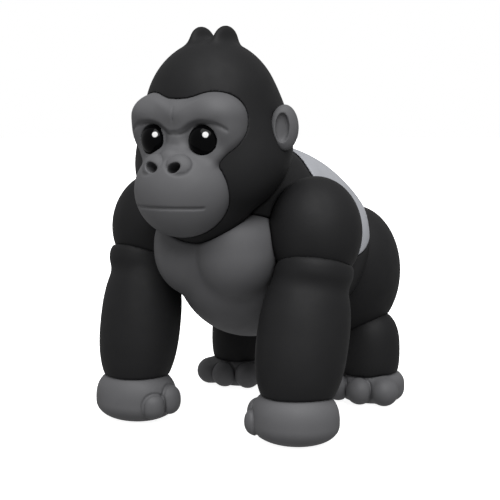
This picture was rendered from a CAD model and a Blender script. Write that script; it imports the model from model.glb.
from functools import reduce
from typing import Callable, NamedTuple

import bmesh
import bpy
import numpy as np
from mathutils import Matrix, Vector


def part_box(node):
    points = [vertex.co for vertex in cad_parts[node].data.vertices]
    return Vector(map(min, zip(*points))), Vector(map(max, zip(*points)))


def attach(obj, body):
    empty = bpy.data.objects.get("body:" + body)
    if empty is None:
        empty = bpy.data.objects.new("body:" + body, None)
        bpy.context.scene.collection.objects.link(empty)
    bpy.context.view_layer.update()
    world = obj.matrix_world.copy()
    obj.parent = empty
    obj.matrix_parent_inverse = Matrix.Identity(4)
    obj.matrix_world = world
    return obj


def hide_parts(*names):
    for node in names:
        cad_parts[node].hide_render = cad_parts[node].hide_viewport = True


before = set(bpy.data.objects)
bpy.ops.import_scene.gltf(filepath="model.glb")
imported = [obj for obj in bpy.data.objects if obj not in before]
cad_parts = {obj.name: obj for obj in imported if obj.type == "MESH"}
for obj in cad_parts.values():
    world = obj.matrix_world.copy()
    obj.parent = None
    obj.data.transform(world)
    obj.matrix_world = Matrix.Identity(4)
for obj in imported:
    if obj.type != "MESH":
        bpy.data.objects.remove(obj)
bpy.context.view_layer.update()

# A moulded toy gorilla standing on all fours. The forms are in millimetres in their own frame:
# +Z up, -Y the way it faces, +X its left. c is a centre, r radii (a fourth when the lower half
# differs), turn degrees about X Y Z, m fullness of the upper and lower profile (2 is an ellipsoid).
MM = 0.001
CRANIUM = dict(c=(0, 0.95, 80.6), r=(17.55, 16.6, 19.4))
JOWL = dict(c=(0, 0.7, 70.4), r=(20.75, 18.7, 13.7), turn=(40, 0, 0))
CHIN = dict(c=(0, -4.4, 57.65), r=(11.2, 10, 7.6), turn=(27, 0, 0))
CREST = dict(c=(3.35, 1.6, 98.7), r=(1.9, 5.5, 4.5), turn=(0, 3.5, 0))
BROW = dict(c=(7.3, -10, 81.6), r=(8.2, 7, 5.4), turn=(0, 5, -20))
BROW_MIDDLE = dict(c=(0, -10.8, 81.5), r=(5, 6.8, 4.2))
SOCKET = dict(c=(6.4, -19.3, 75.6), r=(5.3, 4.2, 4.6), turn=(0, 0, 12))
CHEEK = dict(c=(10.7, -10.5, 78), r=(4, 5, 5.6), turn=(0, 0, 30))
LID = dict(c=(7.2, -13.9, 75.1), r=(4.7, 2.6, 4.7), turn=(0, 0, 14))
BRIDGE = dict(c=(0, -13.2, 74.8), r=(2.1, 3.6, 6))
MUZZLE = dict(c=(0, -13.2, 63), r=(12.35, 10.4, 11, 11.6))
NOSE_WING = dict(c=(3.4, -19.8, 68.2), r=(3.8, 2.5, 3.8), turn=(-10, 0, 12))
NOSE_PAD = dict(c=(0, -17.9, 70.9), r=(2.8, 2.6, 2.4))
NOSTRIL = dict(c=(2.95, -20.4, 68.5), r=(1.85, 4.8, 1.25), turn=(-10, -20, 14))
MASK_UPPER = dict(x=7.75, z=78, rx=7.6, rz=6.4)
MASK_LOWER = dict(x=5.05, z=73.4, rx=6.6, rz=6.65)
MASK_RELIEF, MASK_BACK = 1.2, -3
MOUTH = dict(z=59.2, corner=-18.8, groove=0.4, edge=0.2)
FROWN = dict(z=81.4, half=1.6, groove=0.1, edge=0.3)
# The crease under the brows: a round arch over each eye and a level line across the bridge.
BROW_FOLD = dict(
    x=8.2, z=71.2, r=8.2, level=76.8, corner=1.2, end=13.3, groove=0.35, edge=0.7, fade=0.03,
)
UNDER_BROW = dict(depth=0.6, lip=0.5, reach=5, side=3)  # how the face is set back below the crease
EYE = dict(c=(7.2, -15.1, 75.1), r=(3.65, 2.45, 3.65), turn=(0, 0, 14))
EYE_OPENING = dict(c=EYE["c"], r=(3.5, 8, 3.5), turn=EYE["turn"])  # the round opening in the face
EYE_DOTS = ((8.9, -16.8, 76.5), (-5.2, -17.35, 76.5))  # middles of the painted highlights
EYE_DOT = dict(radius=0.82, edge=0.2)
EAR = dict(c=(20.65, 0.6, 78.05), turn=40, r=(3.45, 5.6, 2.3), m=(2.4, 2.4))
EAR_CUP = dict(c=(-0.95, 0.05, 2.8), r=(1.65, 3.5, 2.1), m=(5, 5))
BARREL = dict(c=(0, 33.6, 44), r=(26.3, 29.9, 21.3), turn=(25, 0, 0))
SHOULDERS = dict(c=(0, 24.3, 57.5), r=(20.4, 27.7, 16.1))
PEC = dict(c=(6.6, 2.7, 46.8), r=(10.5, 12.3, 9.8, 12.3), turn=(0, 0, -14), m=(2.8, 2))
BELLY = dict(c=(0, 21.4, 42.3), r=(17.9, 27.4, 20.7), turn=(-6, 0, 0))
COLLAR = dict(c=(0, -2.9, 40), r=(27.2, 56.4, 40))
SADDLE_SWEEP = dict(c=(0, 28.9, 74.5), r=(70, 28.4, 33.3))
SADDLE_SKIN = 2.2
UPPER_ARM = dict(c=(24.35, 10.3, 52.05), r=(11.8, 11.4, 13.95), turn=(-9.6, -6.6, 0))
FOREARM = dict(c=(24.6, 3.2, 25.9), r=(11.5, 10.6, 20.1), turn=(-10.3, 7.5, 30), m=(2.43, 2.43))
ELBOW = dict(c=(25.8, 7.4, 42.7), r=(9.5, 10, 4.7), turn=(-12.7, 0, 0), m=(2.5, 2.5))
PALM = dict(c=(24.1, 0.2, 5.4), r=(11.3, 10, 8.6, 5.5), turn=(0, 0, 4.8), m=(2.7, 2.3))
THUMB = dict(c=(15.9, -4.2, 5.4), r=(3.4, 3.3, 3.5), m=(2.3, 2.3))
FINGER = dict(c=(13.9, 0.4, 6.3), r=(3.2, 3.5, 4, 3.8), m=(2.3, 2.3))
THIGH = dict(c=(16.3, 49.9, 37.2), r=(13.2, 14.6, 18.6), turn=(2, 0, 0))
SHIN = dict(c=(21.4, 50.6, 14.5), r=(8.6, 8.6, 11.8), m=(2.6, 2.6))
SOLE = dict(c=(21.7, 51.2, 4.2), r=(9.6, 9.3, 5.2, 4.5), m=(3, 3))
TOES = (
    dict(c=(14.9, 43.9, 4.3), r=(3.7, 4, 3.8)),
    dict(c=(22.1, 42.7, 4.2), r=(3.8, 4, 3.8)),
    dict(c=(28.6, 44.9, 4.2), r=(3.9, 4.2, 3.9)),
)
DIGIT_CREASE, NOSE_CREASE = 0.28, 0.08  # radius of the crease where two forms meet
CREASE_JOIN, CREASE_EDGE = 0.2, 0.3
FLOOR_EDGE = 0.5  # rounding between a sole and its flat underside

# How far one form is rounded into the next.
ROUND = dict(
    jowl=7, chin=4, crest=2, mask_discs=3, mask_rim=1.2, mask_back=1, brows=3, brow_on_mask=2,
    socket=0.8, cheek=1.5, bridge=0.9, muzzle=1.3, lid=0.5, eye_opening=0.3, nose_pad=0.9,
    nostril=0.35, ear_cup=0.3, outer_toe=1.5, elbow=3, pecs=1.2, belly=1.6, shoulders=6,
    saddle_corner=1,
)

# Where a piece meets those it is cut back from: the width of the crease and the rounding of its edge.
SEAM = dict(gap=0.12, lip=0.7)
SEAMS = dict.fromkeys(("face", "head", "thigh"), dict(gap=0.03, lip=0.3))

# Surfaces: the grid is worked out in full only in blocks of this many points near the surface.
BLOCK = 6
BLOCK_REACH = 1.3  # in block widths
COARSER = 1
RELAXATIONS, SETTLINGS = 3, 4
PROBE = 0.02  # step used for a field's slope
CHUNK = 400_000
TINY, LEAST_SLOPE = 1e-9, 1e-6
LEAST_STEEPNESS = 0.2  # squared slope below which a point moves no further
BOX_MARGIN = 1  # how far outside its CAD box a piece's surface is looked for
GRID_BORDER, GRID_EXTRA = 2.5, 4  # cells round that box: before it, and added to the count

# Looks: noise scales per metre, and the depth of the grain in metres.
CLOUDS, PATCHES, SMEARS, GRAIN, GRAIN_DEPTH = 90, 260, 400, 3200, 0.00004
NOISE_RANGE = (0.3, 0.7)  # the part of a noise's range that is used
UNEVEN = 0.05  # how far the roughness strays
MIX_AMOUNT, MIX_FIRST, MIX_SECOND, MIX_RESULT = 0, 6, 7, 2  # sockets of a Mix node for colours

# Studio: the camera stands in front, to the gorilla's left, a little above the middle.
CAMERA_AZIMUTH, CAMERA_PITCH = 30.1, 6.55
CAMERA_AT = (156.08, -249.78, 80.79)  # in the forms' frame
CAMERA_LENS = 83.84
KEY_FROM = (34, 55)  # azimuth and elevation in degrees
KEY_WIDTH = 60  # degrees across
KEY_STRENGTH = 3.25
FILL_STRENGTH = 0.34
SET_RADIUS = 4  # metres
FLOOR_ALBEDO, FLOOR_GLOW = 0.9, 0.9
BACKDROP_ALBEDO, BACKDROP_GLOW = 0, 1
CLIP_START = 0.01
BACKDROP_SEGMENTS, BACKDROP_RINGS = 48, 24


def soft(a, b, k):
    """Least of two fields, rounded over where they are within k of each other."""
    h = np.maximum(k - np.abs(a - b), 0) / k
    return np.minimum(a, b) - h * h * k / 4


def soft_most(a, b, k):
    return -soft(-a, -b, k)


def turned(degrees):
    x, y, z = (np.radians(d) for d in degrees)
    about_x = np.array(Matrix.Rotation(x, 3, "X"))
    about_y = np.array(Matrix.Rotation(y, 3, "Y"))
    about_z = np.array(Matrix.Rotation(z, 3, "Z"))
    return about_z @ about_y @ about_x


def egg(c, r, turn=(0, 0, 0), m=(2, 2)):
    """Signed distance, near enough, to an egg or barrel form."""
    axes, centre = turned(turn), np.array(c, float)

    def field(points):
        x, y, z = ((points - centre) @ axes).T
        up = z > 0
        rz = np.where(up, r[2], r[-1])
        p = np.where(up, m[0], m[1]) if m[0] != m[1] else m[0]
        rho = np.hypot(x / r[0], y / r[1]) + TINY
        h = np.abs(z / rz) + TINY
        side = np.hypot(x / r[0] ** 2, y / r[1] ** 2) / rho
        if m == (2, 2):
            size = np.hypot(rho, h)
            slope = np.hypot(rho * side, h / rz) / size
        else:
            size = (rho**p + h**p) ** (1 / p)
            slope = np.hypot((rho / size) ** (p - 1) * side, (h / size) ** (p - 1) / rz)
        return (size - 1) / np.maximum(slope, LEAST_SLOPE)

    return field


def both_sides(f):
    """The left form, and its mirror image on the right."""
    return lambda p: f(np.column_stack([np.abs(p[:, 0]), p[:, 1:]]))


def blend(k, f, g):
    return lambda p: soft(f(p), g(p), k)


def carve(k, f, g):
    return lambda p: soft_most(f(p), -g(p), k)


def twins(k, f):
    """The left form and its mirror image, rounded into each other in the middle."""
    return lambda p: soft(f(p), f(p * (-1, 1, 1)), k)


def scored(form, line, radius, k):
    """A groove cut into the form along a line: line(p) is the distance from it along the surface."""

    def field(p):
        depth = form(p)
        return soft_most(depth, radius - np.hypot(depth, line(p)), k)

    return field


def creased(f, g, radius):
    """Two forms joined, with a thin crease where their surfaces meet."""

    def field(p):
        a, b = f(p), g(p)
        return soft_most(soft(a, b, CREASE_JOIN), radius - np.hypot(a, b), CREASE_EDGE)

    return field


def disc(x, z, rx, rz):
    """Signed distance, near enough, to a round outline in the front view."""

    def field(across, up):
        k = np.hypot((across - x) / rx, (up - z) / rz)
        slope = np.hypot((across - x) / rx**2, (up - z) / rz**2)
        return k * (k - 1) / np.maximum(slope, LEAST_SLOPE)

    return field


def skull_form():
    return blend(ROUND["chin"], blend(ROUND["jowl"], egg(**CRANIUM), egg(**JOWL)), egg(**CHIN))


def head_form():
    return blend(ROUND["crest"], skull_form(), both_sides(egg(**CREST)))


def mask_plate():
    """The raised plate around the eyes, cut to its outline."""
    skull, upper, lower = skull_form(), disc(**MASK_UPPER), disc(**MASK_LOWER)

    def field(p):
        across, up = np.abs(p[:, 0]), p[:, 2]
        outline = soft(upper(across, up), lower(across, up), ROUND["mask_discs"])
        rimmed = soft_most(skull(p) - MASK_RELIEF, outline, ROUND["mask_rim"])
        return soft_most(rimmed, p[:, 1] - MASK_BACK, ROUND["mask_back"])

    return field


def mouth_line(p):
    """A level line across the muzzle, ending at the corners of the mouth."""
    past_corner = np.maximum(p[:, 1] - MOUTH["corner"], 0)
    return np.hypot(p[:, 2] - MOUTH["z"], past_corner)


def above_fold(p):
    """Height above the line under the brows, in the front view."""
    across, up = np.abs(p[:, 0]), p[:, 2]
    arch = np.hypot(across - BROW_FOLD["x"], up - BROW_FOLD["z"]) - BROW_FOLD["r"]
    return soft(arch, up - BROW_FOLD["level"], BROW_FOLD["corner"])


def fold_line(p):
    """Distance from the line under the brows, which fades towards its outer ends."""
    across = np.abs(p[:, 0])
    past_end = np.maximum(across - BROW_FOLD["end"], 0)
    behind = np.maximum(p[:, 1] - MASK_BACK, 0)
    fade = BROW_FOLD["fade"] * np.maximum(across - BROW_FOLD["x"], 0)
    return np.hypot(np.hypot(above_fold(p), past_end), behind) + fade


def set_back_under_brow(form):
    """The form pushed in just below the fold, so that the brows overhang it."""

    def field(p):
        below = -above_fold(p)
        sideways = np.clip((BROW_FOLD["end"] - np.abs(p[:, 0])) / UNDER_BROW["side"], 0, 1)
        starts = np.clip(below / UNDER_BROW["lip"], 0, 1)
        ends = np.clip(1 - below / UNDER_BROW["reach"], 0, 1)
        return form(p) + UNDER_BROW["depth"] * sideways * starts * ends

    return field


def frown_line(p):
    """A short upright line between the brows."""
    past_end = np.maximum(np.abs(p[:, 2] - FROWN["z"]) - FROWN["half"], 0)
    behind = np.maximum(p[:, 1] - MASK_BACK, 0)
    return np.hypot(np.hypot(p[:, 0], past_end), behind)


def face_form():
    brow = blend(ROUND["brows"], both_sides(egg(**BROW)), egg(**BROW_MIDDLE))
    browed = blend(ROUND["brow_on_mask"], mask_plate(), brow)
    socketed = set_back_under_brow(carve(ROUND["socket"], browed, both_sides(egg(**SOCKET))))
    cheeked = blend(ROUND["cheek"], socketed, both_sides(egg(**CHEEK)))
    bridged = blend(ROUND["bridge"], cheeked, egg(**BRIDGE))
    muzzled = blend(ROUND["muzzle"], bridged, egg(**MUZZLE))
    lidded = blend(ROUND["lid"], muzzled, both_sides(egg(**LID)))
    opened = carve(ROUND["eye_opening"], lidded, both_sides(egg(**EYE_OPENING)))
    padded = blend(ROUND["nose_pad"], opened, egg(**NOSE_PAD))
    winged = creased(padded, both_sides(egg(**NOSE_WING)), NOSE_CREASE)
    nosed = carve(ROUND["nostril"], winged, both_sides(egg(**NOSTRIL)))
    folded = scored(nosed, fold_line, BROW_FOLD["groove"], BROW_FOLD["edge"])
    mouthed = scored(folded, mouth_line, MOUTH["groove"], MOUTH["edge"])
    return scored(mouthed, frown_line, FROWN["groove"], FROWN["edge"])


def ear_form():
    """A thick round disc, dished on its outer side and turned to face forwards and out."""
    a = np.radians(EAR["turn"])
    dished = carve(ROUND["ear_cup"], egg((0, 0, 0), EAR["r"], m=EAR["m"]), egg(**EAR_CUP))

    def field(p):
        u, v, w = (p - EAR["c"]).T
        across, outward = u * np.cos(a) + v * np.sin(a), u * np.sin(a) - v * np.cos(a)
        return dished(np.stack([across, w, outward], 1))

    return field


def hand_form():
    fingered = creased(egg(**PALM), egg(**FINGER), DIGIT_CREASE)
    return creased(fingered, egg(**THUMB), DIGIT_CREASE)


def foot_form():
    inner, middle, outer = (egg(**toe) for toe in TOES)
    sole = blend(ROUND["outer_toe"], egg(**SOLE), outer)
    return creased(creased(sole, inner, DIGIT_CREASE), middle, DIGIT_CREASE)


def forearm_form():
    return blend(ROUND["elbow"], egg(**FOREARM), egg(**ELBOW))


def chest_form():
    return blend(ROUND["belly"], twins(ROUND["pecs"], egg(**PEC)), egg(**BELLY))


def torso_form():
    return blend(ROUND["shoulders"], egg(**BARREL), egg(**SHOULDERS))


def saddle_form():
    """The silver inlay: the outer skin of the torso, in a swept outline and behind the collar."""
    torso, sweep, collar = torso_form(), egg(**SADDLE_SWEEP), egg(**COLLAR)

    def field(p):
        depth = torso(p)
        skin = np.maximum(depth, -depth - SADDLE_SKIN)
        outline = soft_most(sweep(p), -collar(p), ROUND["saddle_corner"])
        return soft_most(skin, outline, SEAM["lip"])

    return field


class Design(NamedTuple):
    """What a piece, or each piece of a pair, is made from."""

    form: Callable
    step: float  # of the grid that its surface is found on
    slot: str
    paired: bool = False
    cut_by: tuple = ()  # the pieces whose forms it makes room for


PIECES = {
    "eye": Design(egg(**EYE), 0.22, "eye_gloss", True),
    "face": Design(face_form(), 0.3, "grey_vinyl", False, ("eye",)),
    "ear": Design(ear_form(), 0.26, "grey_vinyl", True),
    "head": Design(head_form(), 0.34, "black_vinyl", False, ("face", "ear")),
    "upper_arm": Design(egg(**UPPER_ARM), 0.5, "black_vinyl", True, ("head",)),
    "hand": Design(hand_form(), 0.3, "grey_vinyl", True),
    "forearm": Design(forearm_form(), 0.5, "black_vinyl", True, ("upper_arm", "hand")),
    "foot": Design(foot_form(), 0.3, "grey_vinyl", True),
    "shin": Design(egg(**SHIN), 0.45, "black_vinyl", True, ("foot",)),
    "thigh": Design(egg(**THIGH), 0.42, "black_vinyl", True, ("shin",)),
    "chest": Design(
        chest_form(), 0.5, "grey_vinyl", False,
        ("head", "face", "upper_arm", "forearm", "thigh"),
    ),
    "saddle": Design(saddle_form(), 0.36, "silver_vinyl", False, ("upper_arm", "thigh", "head")),
    "torso": Design(
        torso_form(), 0.45, "black_vinyl", False,
        ("head", "ear", "upper_arm", "forearm", "thigh", "shin", "chest", "saddle"),
    ),
}


def whole(name):
    """The form of a piece, or of both pieces of a pair."""
    design = PIECES[name]
    return both_sides(design.form) if design.paired else design.form


def fitted(name):
    """The piece's form cut back from its neighbours, with rounded edges, and flat on the floor."""
    design, seam = PIECES[name], SEAMS.get(name, SEAM)
    cutters = [whole(neighbour) for neighbour in design.cut_by]

    def cut_back(p, value, cutter):
        return soft_most(value, seam["gap"] - cutter(p), seam["lip"])

    def field(p):
        value = reduce(lambda v, cutter: cut_back(p, v, cutter), cutters, design.form(p))
        return soft_most(value, -p[:, 2], FLOOR_EDGE)

    return field


def in_chunks(field, points):
    return np.concatenate([field(points[i : i + CHUNK]) for i in range(0, len(points), CHUNK)])


def sampled(field, origin, count, step):
    """The field on a grid, worked out in full only in the blocks near its surface."""
    blocks = -(-count // BLOCK)
    corner = np.indices(blocks).reshape(3, -1).T * BLOCK
    rough = in_chunks(field, origin + (corner + (BLOCK - 1) / 2) * step)
    value = rough.reshape(blocks).repeat(BLOCK, 0).repeat(BLOCK, 1).repeat(BLOCK, 2)
    near = corner[np.abs(rough) < BLOCK_REACH * BLOCK * step]
    at = (near[:, None] + np.indices((BLOCK,) * 3).reshape(3, -1).T).reshape(-1, 3)
    value[tuple(at.T)] = in_chunks(field, origin + at * step)
    return value


def settle(field, points, step):
    """Moves the points onto the field's surface."""
    for _ in range(SETTLINGS):
        slope = np.stack([field(points + d) - field(points - d) for d in np.eye(3) * PROBE], 1)
        slope /= 2 * PROBE
        steep = np.maximum((slope**2).sum(1), LEAST_STEEPNESS)
        move = -(field(points) / steep)[:, None] * slope
        reach = np.linalg.norm(move, axis=1)[:, None]
        points = points + move * np.minimum(1, step / np.maximum(reach, TINY))
    return points


def relax(points, quads):
    """Evens the spacing: each point goes half way to the middle of its neighbours."""
    edges = np.concatenate([quads[:, [i, (i + 1) % 4]] for i in range(4)])
    a, b = edges.T
    count = np.bincount(a, minlength=len(points)) + np.bincount(b, minlength=len(points))
    for _ in range(RELAXATIONS):
        total = [
            np.bincount(a, points[b, i], len(points)) + np.bincount(b, points[a, i], len(points))
            for i in range(3)
        ]
        points = (points + np.stack(total, 1) / count[:, None]) / 2
    return points


def surface(field, lo, hi, step):
    """Points and outward quads of the field's zero surface inside a box."""
    origin = np.array(lo) - step * GRID_BORDER
    count = np.ceil((np.array(hi) - origin) / step).astype(int) + GRID_EXTRA
    inside = sampled(field, origin, count, step) < 0
    corners = sum(
        inside[i : i - 1 or None, j : j - 1 or None, k : k - 1 or None].astype(np.uint8)
        for i in (0, 1) for j in (0, 1) for k in (0, 1)
    )
    active = (corners > 0) & (corners < 8)
    index = np.full(active.shape, -1)
    index[active] = np.arange(active.sum())
    points = origin + (np.argwhere(active) + 0.5) * step
    quads = []
    for axis in range(3):
        b, c = np.eye(3, dtype=int)[[(axis + 1) % 3, (axis + 2) % 3]]
        here = inside.take(range(0, inside.shape[axis] - 1), axis)
        there = inside.take(range(1, inside.shape[axis]), axis)
        for cells, ring in (
            (np.argwhere(here & ~there), (0 * b, -b, -b - c, -c)),
            (np.argwhere(~here & there), (0 * b, -c, -b - c, -b)),
        ):
            quads.append(np.stack([index[tuple((cells + d).T)] for d in ring], 1))
    quads = np.concatenate(quads)
    return settle(field, relax(points, quads), step), quads


def mesh_of(name, points, quads):
    mesh = bpy.data.meshes.new(name)
    mesh.vertices.add(len(points))
    mesh.vertices.foreach_set("co", points.astype(np.float32).ravel())
    mesh.loops.add(quads.size)
    mesh.loops.foreach_set("vertex_index", quads.astype(np.int32).ravel())
    mesh.polygons.add(len(quads))
    mesh.polygons.foreach_set("loop_start", np.arange(0, quads.size, 4, dtype=np.int32))
    mesh.update(calc_edges=True)
    mesh.validate()
    mesh.shade_smooth()
    return mesh


# The forms' frame in the row frame: the left eye keeps its whole form, so their centres match.
eye_lo, eye_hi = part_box("eye_left")
SHIFT = np.array((eye_lo + eye_hi) / 2) - np.array(EYE["c"]) * MM


def make(name):
    """Makes the piece that stands for the CAD node of this name, or a left and a right one."""
    design = PIECES[name]
    slot = design.slot
    nodes = [name + "_left", name + "_right"] if design.paired else [name]
    lo, hi = ((np.array(corner) - SHIFT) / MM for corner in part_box(nodes[0]))
    points, quads = surface(fitted(name), lo - BOX_MARGIN, hi + BOX_MARGIN, design.step * COARSER)
    for node in nodes:
        if node.endswith("_right"):
            points, quads = points * (-1, 1, 1), quads[:, ::-1]
        piece = bpy.data.objects.new(node + "_form", mesh_of(node, points * MM + SHIFT, quads))
        bpy.context.scene.collection.objects.link(piece)
        piece.data.materials.append(MATERIALS[slot])
        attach(piece, "root")
        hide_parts(node)


def node_of(tree, kind, **inputs):
    node = tree.nodes.new(kind)
    for key, value in inputs.items():
        node.inputs[key.replace("_", " ")].default_value = value
    return node


def noise(tree, place, scale, detail):
    node = node_of(tree, "ShaderNodeTexNoise", Scale=scale, Detail=detail)
    tree.links.new(place, node.inputs["Vector"])
    return node.outputs["Fac"]


def ramp(tree, value, low, high):
    """A noise value spread over the range from low to high."""
    start, end = NOISE_RANGE
    node = node_of(tree, "ShaderNodeMapRange", From_Min=start, From_Max=end, To_Min=low, To_Max=high)
    tree.links.new(value, node.inputs["Value"])
    return node.outputs["Result"]


def linear(code):
    """A colour given as 0xRRGGBB, in linear light."""
    parts = [(code >> s & 255) / 255 for s in (16, 8, 0)]
    return (*[p / 12.92 if p <= 0.04045 else ((p + 0.055) / 1.055) ** 2.4 for p in parts], 1)


def shaded(name):
    material = bpy.data.materials.new(name)
    material.use_nodes = True
    tree = material.node_tree
    place = tree.nodes.new("ShaderNodeTexCoord").outputs["Object"]
    return material, tree, place, tree.nodes["Principled BSDF"]


def mix(tree, amount, first, second):
    """The first colour turning into the second as the amount goes from 0 to 1."""
    node = tree.nodes.new("ShaderNodeMix")
    node.data_type = "RGBA"
    tree.links.new(amount, node.inputs[MIX_AMOUNT])
    if isinstance(first, tuple):
        node.inputs[MIX_FIRST].default_value = first
    else:
        tree.links.new(first, node.inputs[MIX_FIRST])
    node.inputs[MIX_SECOND].default_value = second
    return node.outputs[MIX_RESULT]


def vinyl(name, dark, light, rough, specular, grain):
    """Soft-touch moulded vinyl: cloudy colour, uneven roughness and a very fine grain."""
    material, tree, place, shader = shaded(name)
    shader.inputs["Specular IOR Level"].default_value = specular
    cloud = ramp(tree, noise(tree, place, CLOUDS, 4), 0, 1)
    tree.links.new(mix(tree, cloud, linear(dark), linear(light)), shader.inputs["Base Color"])
    patch = ramp(tree, noise(tree, place, PATCHES, 3), rough - UNEVEN, rough + UNEVEN)
    tree.links.new(patch, shader.inputs["Roughness"])
    bump = node_of(tree, "ShaderNodeBump", Strength=grain, Distance=GRAIN_DEPTH)
    tree.links.new(noise(tree, place, GRAIN, 3), bump.inputs["Height"])
    tree.links.new(bump.outputs["Normal"], shader.inputs["Normal"])
    return material


def dot(tree, place, middle):
    """One inside a small round spot, fading to nought at its edge."""
    apart = tree.nodes.new("ShaderNodeVectorMath")
    apart.operation = "DISTANCE"
    tree.links.new(place, apart.inputs[0])
    apart.inputs[1].default_value = np.array(middle) * MM + SHIFT
    inner, outer = (EYE_DOT["radius"] - EYE_DOT["edge"]) * MM, EYE_DOT["radius"] * MM
    edge = node_of(tree, "ShaderNodeMapRange", From_Min=inner, From_Max=outer, To_Min=1, To_Max=0)
    tree.links.new(apart.outputs["Value"], edge.inputs["Value"])
    return edge.outputs["Result"]


def gloss_eye(name, colour, dot_colour, rough, specular):
    """Glossy black with a small white highlight dot painted on each eye."""
    material, tree, place, shader = shaded(name)
    shader.inputs["Specular IOR Level"].default_value = specular
    smear = ramp(tree, noise(tree, place, SMEARS, 2), *rough)
    tree.links.new(smear, shader.inputs["Roughness"])
    left, right = (dot(tree, place, middle) for middle in EYE_DOTS)
    with_left = mix(tree, left, linear(colour), linear(dot_colour))
    with_both = mix(tree, right, with_left, linear(dot_colour))
    tree.links.new(with_both, shader.inputs["Base Color"])
    return material


def direction(azimuth, elevation):
    """Unit vector: azimuth from the front towards the gorilla's left, elevation above the floor."""
    a, e = np.radians(azimuth), np.radians(elevation)
    return Vector((np.sin(a) * np.cos(e), -np.cos(a) * np.cos(e), np.sin(e)))


def add_camera():
    back = direction(CAMERA_AZIMUTH, CAMERA_PITCH)
    right = Vector((0, 0, 1)).cross(back).normalized()
    data = bpy.data.cameras.new("camera")
    data.lens = CAMERA_LENS
    data.clip_start = CLIP_START
    camera = bpy.data.objects.new("camera", data)
    axes = Matrix((right, back.cross(right), back)).transposed()
    at = Vector(np.array(CAMERA_AT) * MM + SHIFT)
    camera.matrix_world = Matrix.Translation(at) @ axes.to_4x4()
    bpy.context.scene.collection.objects.link(camera)
    bpy.context.scene.camera = camera


def add_key():
    """One broad soft light, above the camera."""
    data = bpy.data.lights.new("key", "SUN")
    data.energy, data.angle = KEY_STRENGTH, np.radians(KEY_WIDTH)
    light = bpy.data.objects.new("key", data)
    light.rotation_euler = direction(*KEY_FROM).to_track_quat("Z", "Y").to_euler()
    bpy.context.scene.collection.objects.link(light)


def add_stage(name, mesh, albedo, glow):
    """A piece of the white set, which the camera sees but which throws no light on the gorilla."""
    piece = bpy.data.objects.new(name, mesh)
    material, _, _, shader = shaded(name)
    shader.inputs["Base Color"].default_value = (albedo, albedo, albedo, 1)
    shader.inputs["Roughness"].default_value = 1
    shader.inputs["Specular IOR Level"].default_value = 0
    shader.inputs["Emission Color"].default_value = (1, 1, 1, 1)
    shader.inputs["Emission Strength"].default_value = glow
    piece.data.materials.append(material)
    piece.visible_diffuse = piece.visible_glossy = False
    bpy.context.scene.collection.objects.link(piece)
    return piece


def add_floor():
    half = SET_RADIUS
    corners = np.array([(-half, -half, 0), (half, -half, 0), (half, half, 0), (-half, half, 0)])
    mesh = mesh_of("studio_floor", corners, np.array([[0, 1, 2, 3]]))
    add_stage("studio_floor", mesh, FLOOR_ALBEDO, FLOOR_GLOW)


def add_backdrop():
    sphere = bmesh.new()
    counts = dict(u_segments=BACKDROP_SEGMENTS, v_segments=BACKDROP_RINGS)
    bmesh.ops.create_uvsphere(sphere, radius=SET_RADIUS, **counts)
    mesh = bpy.data.meshes.new("studio_backdrop")
    sphere.to_mesh(mesh)
    sphere.free()
    backdrop = add_stage("studio_backdrop", mesh, BACKDROP_ALBEDO, BACKDROP_GLOW)
    backdrop.visible_shadow = False


def add_world(strength):
    world = bpy.data.worlds.new("studio")
    world.use_nodes = True
    background = world.node_tree.nodes["Background"]
    background.inputs["Color"].default_value = (1, 1, 1, 1)
    background.inputs["Strength"].default_value = strength
    bpy.context.scene.world = world


MATERIALS = {
    "black_vinyl": vinyl("black_vinyl", 0x1E1E1F, 0x222223, rough=0.58, specular=0.16, grain=0.35),
    "grey_vinyl": vinyl("grey_vinyl", 0x5C5C5E, 0x626264, rough=0.55, specular=0.22, grain=0.35),
    "silver_vinyl": vinyl("silver_vinyl", 0xA3A5AA, 0xADAFB4, rough=0.55, specular=0.18, grain=0.3),
    "eye_gloss": gloss_eye("eye_gloss", 0x040405, 0xE8E8E8, rough=(0.08, 0.12), specular=0.1),
}
for name in PIECES:
    make(name)

bpy.context.scene.view_settings.view_transform = "Standard"
add_camera()
add_floor()
add_backdrop()
add_key()
add_world(FILL_STRENGTH)
